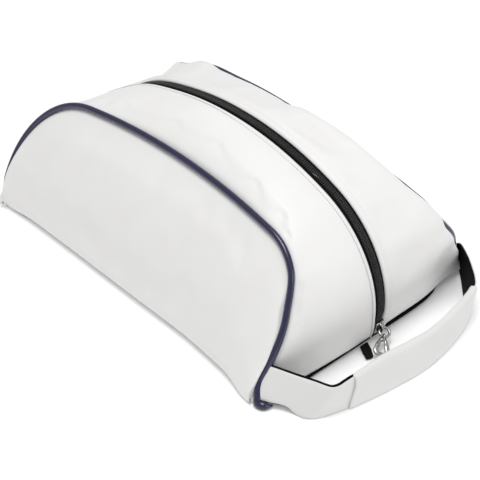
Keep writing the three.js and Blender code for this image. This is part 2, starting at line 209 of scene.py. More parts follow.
def frames_along(path, closed=False):
    """Tangent, side and up at each point of a line, turning as little as possible."""
    t = unit(np.roll(path, -1, 0) - np.roll(path, 1, 0)) if closed else unit(np.gradient(path, axis=0))
    runs_along_y = abs(t[0, 1]) >= 0.9
    first = np.array([0, 0, 1.0]) if runs_along_y else np.array([0, 1.0, 0])
    side = [unit(np.cross(t[0], first))]
    for k in range(1, len(path)):
        side.append(unit(side[-1] - t[k] * (side[-1] @ t[k])))
    side = np.array(side)
    return t, side, np.cross(t, side)


def tube_rows(path, radius, sides, closed=False):
    """Rings of points round a line; the radius is one number or one for each point."""
    path = np.asarray(path, float)
    _, side, up = frames_along(path, closed)
    angle = 2 * math.pi * np.arange(sides) / sides
    r = np.broadcast_to(radius, (len(path),))[:, None, None]
    ring = side[:, None] * np.cos(angle)[None, :, None] + up[:, None] * np.sin(angle)[None, :, None]
    return path[:, None] + r * ring


def tube_object(name, path, radius, material, sides=14, closed=False):
    """A tube round a line, closed on itself or capped."""
    rows = tube_rows(path, radius, sides, closed)
    return make_object(name, rows, tube_faces(len(rows), sides, closed), material)


def joined(name, parts, material):
    """One object of many (points, faces) parts."""
    points, faces, start = [], [], 0
    for p, f in parts:
        p = np.asarray(p, float).reshape(-1, 3)
        points.append(p)
        faces += [[start + c for c in face] for face in f]
        start += len(p)
    return make_object(name, np.vstack(points), faces, material)


def dress(piece, body, slot, *nodes):
    """Hangs the piece on the body it rides on, and hides the CAD nodes it stands for. slot is not used."""
    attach(piece, body)
    if nodes:
        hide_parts(*nodes)
    return piece


# ---- Materials ----
class Nodes:
    """A material's node tree, written as a few nested calls."""

    def __init__(self, name):
        self.material = bpy.data.materials.new(name)
        self.material.use_nodes = True
        self.tree = self.material.node_tree
        self.shader = self.tree.nodes["Principled BSDF"]
        self.place = self.add("ShaderNodeTexCoord").outputs["Object"]

    def add(self, kind, **values):
        """A new node; each value goes to its property or input of that name."""
        node = self.tree.nodes.new(kind)
        for key, value in values.items():
            if key in node.bl_rna.properties:
                setattr(node, key, value)
        for key, value in values.items():
            if key not in node.bl_rna.properties:
                self.put(node.inputs[key.replace("_", " ")], value)
        return node

    def put(self, socket, value):
        """Links another socket, or sets a plain value."""
        if isinstance(value, bpy.types.NodeSocket):
            self.tree.links.new(value, socket)
        else:
            socket.default_value = value

    def noise(self, scale, detail=3, place=None):
        node = self.add("ShaderNodeTexNoise", Vector=place or self.place, Scale=scale, Detail=detail)
        return node.outputs["Fac"]

    def cells(self, scale, feature="DISTANCE_TO_EDGE"):
        node = self.add("ShaderNodeTexVoronoi", feature=feature, Vector=self.place, Scale=scale)
        return node.outputs["Distance"]

    def range(self, value, low, high, from_low=0.0, from_high=1.0):
        """The value spread from one range to another, and held at its ends."""
        node = self.add("ShaderNodeMapRange", Value=value)
        self.put(node.inputs["From Min"], from_low)
        self.put(node.inputs["From Max"], from_high)
        self.put(node.inputs["To Min"], low)
        self.put(node.inputs["To Max"], high)
        return node.outputs["Result"]

    def mix(self, factor, a, b):
        node = self.add("ShaderNodeMix", data_type="RGBA")
        self.put(node.inputs[0], factor)
        self.put(node.inputs[6], a)
        self.put(node.inputs[7], b)
        return node.outputs[2]

    def math(self, operation, a, b=0.0):
        node = self.add("ShaderNodeMath", operation=operation)
        self.put(node.inputs[0], a)
        self.put(node.inputs[1], b)
        return node.outputs[0]

    def bump(self, height, distance, strength=1.0, after=None):
        """A surface raised by up to distance in metres, on top of another bump."""
        node = self.add("ShaderNodeBump", Height=height, Distance=distance, Strength=strength)
        if after is not None:
            self.put(node.inputs["Normal"], after)
        return node.outputs["Normal"]

    def set(self, **values):
        """Sets the shader's inputs and returns the material."""
        for key, value in values.items():
            self.put(self.shader.inputs[key.replace("_", " ")], value)
        return self.material


def grey(value, warm=0.0):
    """A grey, a little yellow where warm is over 0."""
    return (value, value * (1 - 0.4 * warm), value * (1 - warm), 1)


def leatherette(name, tone, grain=1.0, rough=0.46):
    """Smooth coated leatherette: a faint pebble, slightly uneven gloss and traces of handling."""
    n = Nodes(name)
    pebble = n.math("ADD", n.math("MULTIPLY", n.cells(900), 0.7), n.math("MULTIPLY", n.noise(2600, 2), 0.35))
    soft = n.noise(38, 4)
    colour = n.mix(n.range(soft, 0, 1, 0.3, 0.7), grey(tone * 0.975, 0.02), grey(tone, 0.008))
    colour = n.mix(n.range(n.noise(520, 5), 0, 0.35, 0.62, 0.8), colour, grey(tone * 0.93, 0.035))
    fine = n.bump(pebble, 0.00012 * grain, 0.35)
    return n.set(Base_Color=colour, Roughness=n.range(n.noise(150, 3), rough - 0.05, rough + 0.06),
                 Normal=n.bump(soft, 0.0006, 0.25, fine), Specular_IOR_Level=0.45, Sheen_Weight=0.04)


def coated_cord(name, dark, light):
    """Glossy piping with a fine crease pattern."""
    n = Nodes(name)
    creases = n.math("ADD", n.noise(700, 4), n.math("MULTIPLY", n.cells(600), 0.5))
    colour = n.mix(n.range(n.noise(240, 3), 0, 1, 0.3, 0.7), dark, light)
    return n.set(Base_Color=colour, Roughness=n.range(n.noise(400, 2), 0.2, 0.3),
                 Normal=n.bump(creases, 0.00012, 0.25), Coat_Weight=0.35, Coat_Roughness=0.16,
                 Specular_IOR_Level=0.6)


def woven(name, dark, light, pitch, rough=0.8, depth=0.00025):
    """Woven tape or lining: two crossed sets of threads, pitch apart in metres, and loose fibres."""
    n = Nodes(name)
    threads = []
    for axis in ("X", "DIAGONAL"):
        wave = n.add("ShaderNodeTexWave", wave_type="BANDS", bands_direction=axis, Vector=n.place,
                     Scale=0.32 / pitch, Distortion=1.2, Detail=2.0)
        threads.append(wave.outputs["Fac"])
    weave = n.math("MULTIPLY", *threads)
    fuzz = n.noise(3000, 3)
    colour = n.mix(n.range(weave, 0, 1), dark, light)
    colour = n.mix(n.range(fuzz, 0, 0.4, 0.4, 0.8), colour, light)
    return n.set(Base_Color=colour, Roughness=n.range(n.noise(90, 3), rough - 0.06, min(rough + 0.1, 1)),
                 Normal=n.bump(fuzz, 0.00008, 0.3, n.bump(weave, depth, 0.7)), Specular_IOR_Level=0.12)


def plated(name, tone):
    """Nickel plate: smudges, fine scratches and painted shade that darkens its hollows."""
    n = Nodes(name)
    stretched = n.add("ShaderNodeMapping", Vector=n.place)
    stretched.inputs["Scale"].default_value = (1, 6, 0.6)
    scratches = n.noise(2200, 4, stretched.outputs["Vector"])
    colour = n.mix(n.range(n.noise(420, 4), 0, 1, 0.35, 0.7), grey(tone * 0.72, 0.05), grey(tone, 0.03))
    # Painted shade: ambient occlusion darkens the colour to near black in the hollows.
    hollow_shade = n.add("ShaderNodeAmbientOcclusion", samples=8, Distance=0.004)
    colour = n.mix(n.range(hollow_shade.outputs["AO"], 0, 1, 0.35, 0.92), grey(0.012), colour)
    return n.set(Base_Color=colour, Metallic=1.0, Roughness=n.range(n.noise(500, 4), 0.16, 0.36),
                 Normal=n.bump(scratches, 0.00006, 0.4))


def plain(name, colour, rough, scale, depth):
    """One colour with slightly darker patches, and fine unevenness of that depth in metres."""
    n = Nodes(name)
    darker = (*(c * 0.88 for c in colour[:3]), 1)
    base = n.mix(n.range(n.noise(scale * 0.1, 3), 0, 1, 0.3, 0.7), colour, darker)
    return n.set(Base_Color=base, Roughness=n.range(n.noise(scale * 0.3), rough - 0.06, rough + 0.06),
                 Normal=n.bump(n.noise(scale, 4), depth, 0.4))


WHITE = leatherette("white_leatherette", tone=0.84)
# The strap and grip sleeve take the body's leatherette in a darker tone: painted shade, so they read dimmer
# than the body.
STRAP_WHITE = leatherette("strap_leatherette", tone=0.765, grain=0.8, rough=0.5)
NAVY = coated_cord("navy_piping", (0.004, 0.004, 0.032, 1), (0.009, 0.008, 0.06, 1))
TAPE = woven("zip_tape", grey(0.004), grey(0.014), pitch=0.0005, rough=0.75)
WEBBING = woven("webbing", grey(0.001), grey(0.006), pitch=0.0012, rough=0.8, depth=0.0005)
LINING = woven("lining_cloth", (0.008, 0.008, 0.009, 1), (0.016, 0.016, 0.018, 1), pitch=0.0006, rough=0.8)
COIL = plain("zip_coil", (0.04, 0.04, 0.042, 1), rough=0.36, scale=1500, depth=0.00005)
BINDING = woven("base_binding", grey(0.001), grey(0.005), pitch=0.0009, rough=0.7, depth=0.0003)
UNDERSIDE = plain("coated_underside", (0.016, 0.016, 0.017, 1), rough=0.6, scale=900, depth=0.0003)
THREAD = plain("white_thread", (0.8, 0.8, 0.78, 1), rough=0.7, scale=3000, depth=0.0001)
NICKEL = plated("nickel_plate", tone=0.56)
BOARD = plain("base_board", (0.45, 0.41, 0.33, 1), rough=0.8, scale=1200, depth=0.0002)


# ---- The bag's lines, repeated from part.mjs ----
SIDE_ARCH = dict(top_r=750, top_x=2, apex=113, rear_r=73, rear_x=-171, front_r=48, front_x=149.5)
ZIP_ARCH = dict(top_r=265, top_x=14, apex=132.5, rear_r=63, rear_x=-169, front_r=88.8, front_x=166)
SIDE_LEAN, SIDE_FOOT_Y = 0.549, 118
CORD_RADIUS = 2.7
LIP = 5.7


def end_centre(a, radius, x):
    """The centre, at that x, of an arc that runs smoothly into an arch's top arc."""
    return x, a["apex"] - a["top_r"] + math.sqrt((a["top_r"] - radius) ** 2 - (x - a["top_x"]) ** 2)


def arch_line(a, front_end, foot=4.0):
    """An arch's points (x, z) from the rear foot to a height on the front arc."""
    top_z = a["apex"] - a["top_r"]
    rx, rz = end_centre(a, a["rear_r"], a["rear_x"] + a["rear_r"])
    fx, fz = end_centre(a, a["front_r"], a["front_x"] - a["front_r"])
    rear_turn = math.atan2(rz - top_z, rx - a["top_x"])
    front_turn = math.atan2(fz - top_z, fx - a["top_x"])
    rear_foot = math.pi + math.asin((rz - foot) / a["rear_r"])
    front_foot = math.asin((front_end - fz) / a["front_r"])
    arcs = ((rx, rz, a["rear_r"], rear_foot, rear_turn),
            (a["top_x"], top_z, a["top_r"], rear_turn, front_turn),
            (fx, fz, a["front_r"], front_turn, front_foot))
    rows = []
    for x, z, r, start, end in arcs:
        angle = np.linspace(start, end, 160)
        rows.append(np.stack([x + r * np.cos(angle), z + r * np.sin(angle)], -1))
    return np.vstack(rows)


STEPS = 800
# Below the front arc the seam leans forward a little, drops to the base and turns under its corner.
SEAM_DROP = [(149.6, 58), (151.2, 48), (151.4, 40), (150.4, 28), (149.6, 18), (149.6, 10.7),
             (150.7, 5.2), (153, 2.4)]
arc_end = end_centre(SIDE_ARCH, SIDE_ARCH["front_r"], 0)[1] + 20
side_line = resample(np.vstack([arch_line(SIDE_ARCH, arc_end), spline(SEAM_DROP, 60)]), STEPS + 1)
zip_line = resample(arch_line(ZIP_ARCH, 4.6), STEPS + 1)


def along(line, t):
    """The point (x, z) at t, from 0 at the rear foot to 1 at the front foot."""
    return sample(line, np.arange(STEPS + 1), np.clip(np.asarray(t, float), 0, 1) * STEPS)


# How far the left shoulder has settled, as (x, drop) along the seam.
DROP_X = [-95, -76, -60, -20, 0, 60, 100, 130, 144, 152]
DROP_Z = [0, 4.4, 6.4, 5.4, 5.6, 6, 7.5, 8.5, 6, 3]
SETTLE_X = np.linspace(-130, 180, 311)
SETTLE_Z = np.interp(SETTLE_X, DROP_X, DROP_Z)
for _ in range(3):
    SETTLE_Z = np.convolve(np.pad(SETTLE_Z, 8, "edge"), np.ones(17) / 17, "valid")


# Where the bag has sunk, risen or been drawn in: centre, reach and movement.
MOVED = [((-137, 70, 98), (52, 56, 60), (7.0, -5, -15)),    # the left rear top corner has sunk,
         ((-142, 0, 104), (56, 36, 60), (0.0, 0, 0.8)),     # the zip stands up behind it
         ((-104, 0, 112), (30, 34, 60), (0.0, 0, 3.4)),
         ((160, 118, 4), (46, 42, 34), (-6.0, -11, 0))]     # and the base's left front corner is drawn in


def falloff(p, centre, radius):
    """1 at the centre, falling away over the radius."""
    return np.exp(-(((p - np.array(centre, float)) / np.array(radius, float)) ** 2).sum(-1))[..., None]


def slump(p):
    """The bag isn't quite symmetrical, as soft goods never are; everything sewn together moves together."""
    x, y, z = (p[..., k] for k in range(3))
    move = sum(falloff(p, centre, reach) * np.array(by) for centre, reach, by in MOVED)
    move[..., 2] *= smooth(z, 2, 34)
    from_seam = y - (SIDE_FOOT_Y - SIDE_LEAN * z)
    move[..., 2] -= np.interp(x, SETTLE_X, SETTLE_Z) * hill(from_seam / 26) * smooth(z, 36, 68)
    return p + move


def seam(t, side):
    """The side seam at t, from 0 at the rear foot to 1 at the front foot."""
    p = along(side_line, t)
    y = SIDE_FOOT_Y - SIDE_LEAN * p[..., 1]
    # It stands out a little where it drops at the front, and more at the foot.
    front = smooth(p[..., 0], 120, 150)
    y = y + 1.3 * front * (1 - smooth(p[..., 1], 35, 70)) + (1 - smooth(p[..., 1], 2, 8)) * front
    return vec(p[..., 0], side * y, p[..., 1])


def band(t, across, side, unstuffed=False):
    """The arched band between the seam and the zip, at a distance from the zip's middle."""
    edge, middle = seam(t, side), along(zip_line, t)
    power = lerp(2.2, 3.1, smooth(t, 0.2, 0.8))
    if side == LEFT and not unstuffed:
        # The left shoulder is fuller, and hides its own seam from the front.
        x, z = edge[..., 0], edge[..., 2]
        power = power + 3.8 * (1 - smooth(x, -110, -78) + smooth(x, 0, 30)) * smooth(z, 26, 62)
    rise = 1 - np.clip(across / np.abs(edge[..., 1]), 0, 1) ** power
    x, z = lerp(edge[..., 0], middle[..., 0], rise), lerp(edge[..., 2], middle[..., 1], rise)
    return vec(x, side * across, z)


def sunk(p, depth, inside):
    """A grid's points moved in by depth."""
    return p - normals_of(p, np.asarray(inside, float)) * np.asarray(depth)[..., None]


CENTRE = (0, 0, 35)
SIDE_FOOT_X, SIDE_FOOT_Z = (-166, 149), 1.6
CROWN, CROWN_ROOM = 10.5, 34
CURL, CURL_HEIGHT = 9.0, 16.0


def beside_cord(gap, wide, reach):
    """How deep a panel is drawn in at a distance from the cord: most in a narrow seat, less beyond."""
    return 1.5 * hill(gap / 3.2) + wide * hill(gap / reach)


def side_grid(side, nu, nv, depth=0.0):
    """A side panel from its bottom edge to the seam: crowned, drawn in at the cord, curled under the base."""
    t = np.linspace(0, 1, nu)[:, None]
    w = 0.5 - 0.5 * np.cos(math.pi * np.linspace(0.0, 1, nv))
    w = lerp(w, np.linspace(0, 1, nv), 0.25)[None, :]
    top = seam(t, side)
    q = np.clip((t - 0.04) / 0.92, 0, 1)
    foot_x = lerp(*SIDE_FOOT_X, q**3 * (q * (q * 6 - 15) + 10))
    x, z = lerp(foot_x, top[..., 0], w), lerp(SIDE_FOOT_Z, top[..., 2], w)
    reach = np.hypot(foot_x - top[..., 0], SIDE_FOOT_Z - top[..., 2])
    # The crown is highest a little above the middle, and a narrow strip has no room for one.
    crown = CROWN * 4 * w**0.8 * (1 - w**0.8) * np.clip(np.sin(math.pi * t), 0, 1) ** 0.5
    crown = crown * (1 - hill(reach / CROWN_ROOM))
    foot = -4.0 + 6.0 * smooth(foot_x, 50, 150)
    y = np.abs(top[..., 1])
    y = SIDE_FOOT_Y - SIDE_LEAN * z + (y - (SIDE_FOOT_Y - SIDE_LEAN * top[..., 2])) * w
    y = y + foot * (1 - w) ** 1.5 + crown * 0.877
    z = z + crown * 0.45 * w
    # The bottom edge curls under the base, less towards both ends.
    low = np.clip((CURL_HEIGHT - z) / CURL_HEIGHT, 0, 0.97)
    curl = CURL * (1 - 0.97 * smooth(x, 112, 142) - 0.5 * smooth(-x, 130, 160))
    y = y - curl * (1 - np.sqrt(1 - low**2)) * (1 - w**4)
    # Both lower corners are plump, and stand out past the cord.
    full = 1 - np.exp(-(1 - w) * reach / 5.0)
    rear = 2.0 * full * hill((x + 166) / 30, (z - 14) / 30)
    front = 3.5 * full * hill((x - 150) / 26, (z - 6) / 22)
    y = y + 0.85 * rear + front
    x = x - 0.35 * rear
    p = vec(x, side * y, z)
    p[..., 1] += side * 0.7 * ripple(p, 3 if side == RIGHT else 4, 95) * np.clip(4 * w * (1 - w), 0, 1)
    seat = beside_cord((1 - w) * reach, 1.0, 9) * (0.1 + 0.9 * smooth(z, 8, 38))
    return slump(sunk(p, seat + depth, CENTRE))


# How far the left gusset stands out at the rear, along the top, at the front and at the front corner, and
# how much less at the knee above that corner. The right one is the same all along.
PLUMP_REAR, PLUMP_TOP, PLUMP_FRONT, PLUMP_CORNER, KNEE_LESS = 10.5, (5.4, 5.2), 9.0, 12.0, 6.5
PLUMP_RIGHT = 1.2


def shoulder(p, gap, side):
    """How a gusset stands out beside the cord; the left one is plump, and hides its seam from the front."""
    x, z = p[..., 0], p[..., 2]
    back, front = 1 - smooth(x, -110, -78), smooth(x, 30, 80)
    corner = smooth(x, 120, 150) * (1 - smooth(z, 50, 80))
    knee = smooth(x, 128, 146) * smooth(z, 24, 40) * (1 - smooth(z, 60, 75))
    if side == LEFT:
        plump = PLUMP_REAR * back + lerp(*PLUMP_TOP, smooth(x, -45, -5)) * (1 - back) * (1 - front)
        plump = plump + PLUMP_FRONT * front * (1 - corner) + PLUMP_CORNER * corner - KNEE_LESS * knee
    else:
        plump = PLUMP_RIGHT
    fade = smooth(z, lerp(1, -9, corner), lerp(12, 4, corner))
    plump = plump * (1 - np.exp(-gap / 4.0)) * hill(gap / lerp(22, 34, back)) * fade
    way = vec(0.3 * front * (1 - corner) + 0.85 * corner - 0.45 * back, side * lerp(0.5, 0.6, corner),
              lerp(0.8, 0.1, corner))
    return unit(way) * plump[..., None]


def gusset_grid(side, nu, nv, depth=0.0, inner=LIP, rolled=True):
    """The band from its rolled lip at the zip to the seam cord."""
    t = np.linspace(0, 1, nu)[:, None]
    edge = np.abs(seam(t, side)[..., 1])
    near = np.full_like(t, inner)
    if rolled:
        # The lips close to a point behind the rear stop, and draw in a little at the slider's end.
        near = inner - (inner - 1.2) * (1 - smooth(t, 0.0, 0.05)) - 2.2 * smooth(t, 0.955, 0.995)
    w = np.linspace(0, 1, nv)[None, :]
    w = lerp(w, 0.5 - 0.5 * np.cos(math.pi * w), 0.6)
    across = lerp(near, edge, w)
    # A lining is cut to the plain curve: sunk inside a plump shoulder it would turn inside out and show.
    is_lining = depth > 0
    p = band(t, across, side, unstuffed=is_lining)
    if side == LEFT:
        # The far half of the front edge is drawn up a little over the binding.
        p[..., 2] += 2.6 * smooth(t, 0.965, 1.0)
    gap = edge - across
    if not is_lining:
        p = p + shoulder(p, gap, side)
    shape = np.clip(4 * w * (1 - w), 0, 1) ** 0.8
    soft = 0.9 * ripple(p, 11 if side == RIGHT else 12, 110) * shape
    p = sunk(p, beside_cord(gap, 0.9, 10) - soft + depth, CENTRE)
    if rolled:
        # Three columns fold round the lip and under it.
        n = normals_of(p, np.asarray(CENTRE, float))
        p = p - n * (1.3 * hill(across - near))[..., None]
        lip, down, inward = p[:, :1], n[:, :1], unit(p[:, :1] - p[:, 1:2])
        folds = [lip - down * deep + inward * past for deep, past in ((2.0, -6.0), (1.9, -1.4), (1.0, 0.35))]
        p = np.concatenate([*folds, p], 1)
    return slump(p)


SIM_FRAMES = 20


def relax(name, p, pressure, cap, pin_columns=2):
    """Inflates a sewn panel as cloth with its seams pinned, and returns its points, moved by at most cap."""
    nu, nv = p.shape[:2]
    piece = make_object(name, p, grid_faces(nu, nv), WHITE)
    pins = piece.vertex_groups.new(name="pins")
    edge = np.zeros((nu, nv), bool)
    edge[:2] = edge[-2:] = True
    edge[:, :pin_columns] = edge[:, -2:] = True
    pins.add(np.flatnonzero(edge.ravel()).tolist(), 1.0, "REPLACE")
    cloth = piece.modifiers.new("cloth", "CLOTH")
    s = cloth.settings
    s.vertex_group_mass = "pins"
    s.quality = 5
    s.mass = 0.4
    s.tension_stiffness = s.compression_stiffness = 18
    s.bending_stiffness = 4
    s.shrink_min = -0.006
    s.use_pressure = True
    s.uniform_pressure_force = pressure
    s.effector_weights.gravity = 0
    cloth.point_cache.frame_start, cloth.point_cache.frame_end = 1, SIM_FRAMES
    for step in range(1, SIM_FRAMES + 1):
        scene.frame_set(step)
    dg = bpy.context.evaluated_depsgraph_get()
    moved = np.empty(nu * nv * 3)
    piece.evaluated_get(dg).data.vertices.foreach_get("co", moved)
    moved = moved.reshape(p.shape) / MM - p
    bpy.data.objects.remove(piece)
    scene.frame_set(1)
    far = np.linalg.norm(moved, axis=-1, keepdims=True)
    # The movement fades out near the pinned seams, so that no step forms beside them.
    rows = np.minimum(np.arange(nu), np.arange(nu)[::-1])
    cols = np.minimum(np.arange(nv) - pin_columns, np.arange(nv)[::-1] - 1)
    inner = smooth(rows, 1, 10)[:, None] * smooth(cols, 0, 7)[None, :]
    return p + moved * np.minimum(1, cap / np.maximum(far, 1e-9)) * inner[..., None]


def denser(p, factor=2):
    """The same surface on a finer grid, through Catmull-Rom curves both ways."""
    for axis in (0, 1):
        q = np.moveaxis(p, axis, 0)
        q = np.concatenate([2 * q[:1] - q[1:2], q, 2 * q[-1:] - q[-2:-1]])
        a, b, c, d = q[:-3], q[1:-2], q[2:-1], q[3:]
        rows = [catmull_rom(a, b, c, d, k / factor) for k in range(factor)]
        out = np.stack(rows, 1).reshape(-1, *q.shape[1:])
        p = np.moveaxis(np.concatenate([out, q[-2:-1]]), 0, axis)
    return p


def stitches(name, line, normal, length, space, radius, material, lift=0.05):
    """A row of short thread stitches that dip into the surface at both ends."""
    s = lengths(line)
    dip = radius * np.array([2.2, 0, 0.3, 0, 2.2])
    parts = []
    for start in np.arange(space, s[-1] - length, length + space):
        at = start + length * np.linspace(0, 1, len(dip))
        p = sample(line, s, at) + unit(sample(normal, s, at)) * (lift - dip)[:, None]
        parts.append((tube_rows(p, radius, 6), tube_faces(len(dip), 6)))
    return joined(name, parts, material)


# ---- Base: panel, board and lining, and the binding that shows under the front ----
HALF_BASE = (160, 110)
CORNER_RADIUS, WAIST, FRONT_WIDER = 14.0, 0.045, 0.03
rim_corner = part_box("base_binding")[1]
RIM_X, RIM_Y = (1000 * c - 1.8 for c in (rim_corner.x, rim_corner.y))


def base_rim(inset, count=260, pull=0.0):
    """The base's rim: a rounded rectangle with a waist, drawn in by pull along its sides."""
    r = CORNER_RADIUS
    x, y = RIM_X - inset - r, RIM_Y / (1 + FRONT_WIDER) - inset - r
    corners = [(x, y, 0), (-x, y, 90), (-x, -y, 180), (x, -y, 270)]
    rows = []
    for cx, cy, start in corners:
        a = np.radians(start + np.linspace(0, 90, 12))
        rows.append(np.stack([cx + r * np.cos(a), cy + r * np.sin(a)], -1))
    p = resample(np.vstack(rows), count, closed=True)
    # It narrows to a waist in the middle, and is a little wider at the front.
    q = p[:, 0] / HALF_BASE[0]
    p[:, 1] *= (1 - WAIST * (1 - q * q)) * (1 + FRONT_WIDER * q)
    p[:, 1] -= np.sign(p[:, 1]) * pull * (1 - smooth(np.abs(p[:, 0]), 120, 158))
    p[:, 0] += 3.0 * smooth(np.abs(p[:, 1]), 80, 108) * smooth(p[:, 0], 140, 158)
    # The left front corner is drawn in under the gusset.
    p -= falloff(p, (158, 108), 30) * np.array([9.0, 7.0])
    return p


# A board's rounded edge: how far each ring is in from the outline, and up from the face.
BOARD_EDGE = ((1.2, 0), (0.35, 0.12), (0, 0.45))


def board_rows(outline, low, high):
    """Rings round a board, whose faces run on to the middle so that it bends with its drawn-in corner."""
    edge = [(x, low + up) for x, up in BOARD_EDGE] + [(x, high - up) for x, up in reversed(BOARD_EDGE)]
    half_x, half_y = HALF_BASE
    rows = [vec(outline[:, 0] * (1 - x / half_x), outline[:, 1] * (1 - x / half_y), z) for x, z in edge]
    for k in np.linspace(0.96, 0.04, 14):
        rows.append(vec(outline[:, 0] * k, outline[:, 1] * k, high))
        rows.insert(0, vec(outline[:, 0] * k, outline[:, 1] * k, low))
    return slump(np.array(rows))


rim = base_rim(0.6, pull=4.5)
rim_path = vec(rim[:, 0], rim[:, 1], 2.3 + 0.25 * np.sin(rim[:, 1] / 23) * (rim[:, 0] > 150))
binding = tube_object("base_binding_tape", slump(rim_path), 1.75, BINDING, 12, closed=True)
dress(binding, "bag", "black_trim", "base_binding")
for name, node, inset, pull, low, high, material, slot in (
        ("base_cover", "base_panel", 2.0, 4.5, 0.0, 1.5, UNDERSIDE, "black_trim"),
        ("base_stiffener", "base_board", 9.0, 2.0, 1.8, 4.3, BOARD, "board")):
    rows = board_rows(base_rim(inset, 160, pull), low, high)
    dress(make_object(name, rows, tube_faces(*rows.shape[:2]), material), "bag", slot, node)
# The base lining is a loose sheet: rings from the rim to the middle.
outline = base_rim(11)
share = np.linspace(1, 0.02, 26)
cloth = vec(outline[:, None, 0] * share, outline[:, None, 1] * share, 4.9)
cloth[..., 2] += 0.12 * ripple(cloth, 21, 60)
floor_rings = slump(cloth)
nu, nv = floor_rings.shape[:2]
cloth_faces = grid_faces(nu, nv, wrap_u=True) + [[(k + 1) * nv - 1 for k in range(nu)]]
cloth_floor = make_object("floor_lining", floor_rings, cloth_faces, LINING)
dress(cloth_floor, "bag", "lining", "base_lining")


# Where the cord turns under the front corner, on the left side.
CORD_HOOK = [(154.6, 118.2, 2.6), (157.2, 118.6, 2.4), (160.2, 117.6, 2.4), (162.6, 115.2, 2.3),
             (164.2, 112.2, 2.2)]
for name, side in SIDES.items():
    cord = seam(np.linspace(0, 1, 260), side)
    cord = slump(spline(np.vstack([cord[:-6:6], [(x, side * y, z) for x, y, z in CORD_HOOK]]), 340))
    # It is fuller down the front, and tapers away at its hook and at the rear foot.
    at = np.linspace(0, 1, len(cord))
    taper = (1 - 0.75 * smooth(at, 0.985, 1.0)) * (0.1 + 0.9 * smooth(at, 0.004, 0.05))
    radius = CORD_RADIUS * (1 + 0.3 * smooth(at, 0.84, 0.94)) * taper
    dress(tube_object(f"piping_cord_{name}", cord, radius, NAVY, 14), "bag", "piping", f"piping_{name}")

    panel = relax(f"panel_cloth_{name}", side_grid(side, 100, 24), pressure=3.0, cap=3.0)
    piece = shell_object(f"side_panel_padded_{name}", denser(panel), 2.6, WHITE, CENTRE)
    dress(piece, "bag", "leatherette", f"side_panel_{name}", f"side_foam_{name}")

    gusset = gusset_grid(side, 110, 34)
    gusset = relax(f"gusset_cloth_{name}", gusset, pressure=2.0, cap=0.8, pin_columns=6)
    piece = shell_object(f"gusset_panel_{name}", denser(gusset), 0.9, WHITE, CENTRE)
    dress(piece, "bag", "leatherette", f"gusset_{name}")

    side_cloth = side_grid(side, 60, 16, depth=6.0)[2:-2, 2:-1]
    gusset_cloth = gusset_grid(side, 70, 14, depth=6.5, inner=12, rolled=False)[3:-3, :-1]
    for part, cloth in (("side", side_cloth), ("gusset", gusset_cloth)):
        cloth = cloth + 0.5 * ripple(cloth, 31, 40)[..., None] * np.array([0, side * -0.6, -0.6])
        piece = shell_object(f"{part}_lining_cloth_{name}", cloth, 0.5, LINING, CENTRE)
        dress(piece, "bag", "lining", f"{part}_lining_{name}")
        wide, long = (np.linalg.norm(np.diff(cloth, axis=k), axis=-1).sum(k).max() * MM for k in (1, 0))


# ---- Zip: woven tapes, two nylon coils, a topstitch beside each lip, and the stops ----
TAPE_DEPTH, TAPE_THICK = 2.9, 0.6
ZIP_ENDS = (0.018, 0.985)
COIL_TURNS, PER_TURN = 285, 9
COIL_DEPTH, COIL_THREAD = 1.75, 0.33
for name, side in SIDES.items():
    t = np.linspace(0.004, 0.992, 220)[:, None]
    across = np.linspace(1.0, 15.5, 12)[None, :]
    tape = sunk(band(t, across, side), TAPE_DEPTH + 0.25 * (across > 3), CENTRE)
    piece = shell_object(f"zip_tape_{name}", slump(tape), TAPE_THICK, TAPE, CENTRE)
    dress(piece, "bag", "webbing", f"zipper_tape_{name}")

    # The left coil starts half a turn later, so the two mesh.
    k = np.arange(COIL_TURNS * PER_TURN + 1)
    late = PER_TURN / 2 if side == LEFT else 0
    t = lerp(*ZIP_ENDS, (k + late) / (COIL_TURNS * PER_TURN + PER_TURN / 2))
    angle = 2 * math.pi * k / PER_TURN
    away = 1.35 + 1.6 * np.cos(angle)
    middle = along(zip_line, t)
    run = unit(np.gradient(middle, axis=0))
    out = np.stack([-run[:, 1], run[:, 0]], -1)
    height = -COIL_DEPTH + 0.85 * np.sin(angle)
    coil = vec(middle[:, 0] + out[:, 0] * height, side * away, middle[:, 1] + out[:, 1] * height)
    piece = tube_object(f"zip_coil_{name}", slump(coil), COIL_THREAD, COIL, 5)
    dress(piece, "bag", "chain", f"zipper_chain_{name}")

    t = np.linspace(0.06, 0.95, 400)[:, None]
    strip = band(t, LIP + np.array([[2.6, 3.2, 3.8]]), side)
    n = normals_of(strip, np.asarray(CENTRE, float))
    row = stitches(f"lip_stitch_{name}", slump(strip[:, 1]), n[:, 1], length=2.3, space=0.9, radius=0.16,
                   material=THREAD)
    dress(row, "bag", "leatherette")


# ---- Zip ends and slider ----
def bevelled_plate(outline, low, high, bevel, place):
    """A round-edged plate from a closed outline of (a, b) points; place turns (a, b, height) into a point."""
    p = np.asarray(outline, float)
    run = unit(np.roll(p, -1, 0) - np.roll(p, 1, 0))
    out = np.stack([run[:, 1], -run[:, 0]], -1)
    if (out * (p - p.mean(0))).sum() < 0:
        out = -out
    steps = [(bevel * (1 - math.sin(a)), bevel * (1 - math.cos(a))) for a in math.pi / 2 * np.arange(4) / 3]
    rows = [(p - out * i, low + j) for i, j in steps] + [(p - out * j, high - i) for i, j in steps]
    points = np.array([[place(a, b, h) for a, b in q] for q, h in rows])
    return points, tube_faces(len(rows), len(p))


def squircle(angle, power_a, power_b):
    """Cosine and sine squared off towards a rounded rectangle; the smaller the power, the squarer."""
    c, s = np.cos(angle), np.sin(angle)
    return np.sign(c) * np.abs(c) ** power_a, np.sign(s) * np.abs(s) ** power_b


